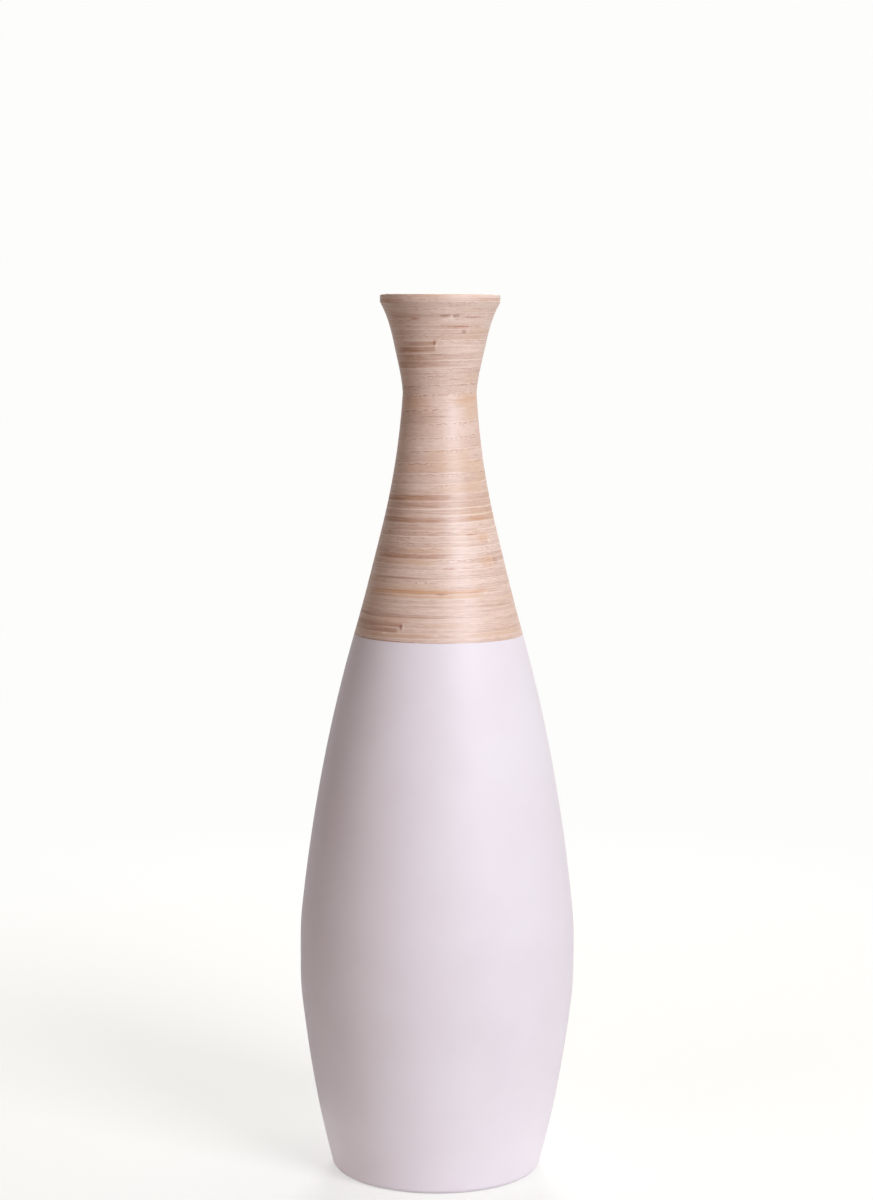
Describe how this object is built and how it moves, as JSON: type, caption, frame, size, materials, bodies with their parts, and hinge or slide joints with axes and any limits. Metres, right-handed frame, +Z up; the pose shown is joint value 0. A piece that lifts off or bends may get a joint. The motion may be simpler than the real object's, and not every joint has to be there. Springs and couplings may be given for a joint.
{
  "type": "bamboo vase",
  "caption": "Tall bottle-shaped floor vase wound from bamboo strips, natural striped neck and flared mouth over a white lacquered body, for dried or artificial stems.",
  "frame": {"origin": "centre of the foot on the floor", "axes": "+Z up along the vase's axis; the wall is round, and +Y points away from the picture's camera"},
  "size_m": [0.2508, 0.2508, 0.8],
  "materials": {
    "natural_bamboo": "clear satin lacquer",
    "white_lacquer": "satin white lacquer",
    "raw_bamboo": "bare, sanded"
  },
  "bodies": {
    "root": {"foot_hoop": "white_lacquer", "lower_body_strip_1": "white_lacquer", "lower_body_strip_2": "white_lacquer", "lower_body_strip_3": "white_lacquer", "lower_body_strip_4": "white_lacquer", "lower_body_strip_5": "white_lacquer", "lower_body_strip_6": "white_lacquer", "belly_strip_1": "white_lacquer", "belly_strip_2": "white_lacquer", "upper_body_strip_1": "white_lacquer", "upper_body_strip_2": "white_lacquer", "upper_body_strip_3": "white_lacquer", "upper_body_strip_4": "white_lacquer", "upper_body_strip_5": "white_lacquer", "upper_body_strip_6": "white_lacquer", "upper_body_strip_7": "white_lacquer", "upper_body_strip_8": "white_lacquer", "upper_body_strip_9": "white_lacquer", "shoulder_strip_lower": "natural_bamboo", "shoulder_strip_upper": "natural_bamboo", "collar_strip": "natural_bamboo", "dark_belt": "natural_bamboo", "neck_strip": "natural_bamboo", "throat_hoop": "natural_bamboo", "mouth_strip_lower": "natural_bamboo", "mouth_strip_upper": "natural_bamboo", "rim_hoop": "natural_bamboo", "base_disc": "raw_bamboo"}
  },
  "joints": []
}
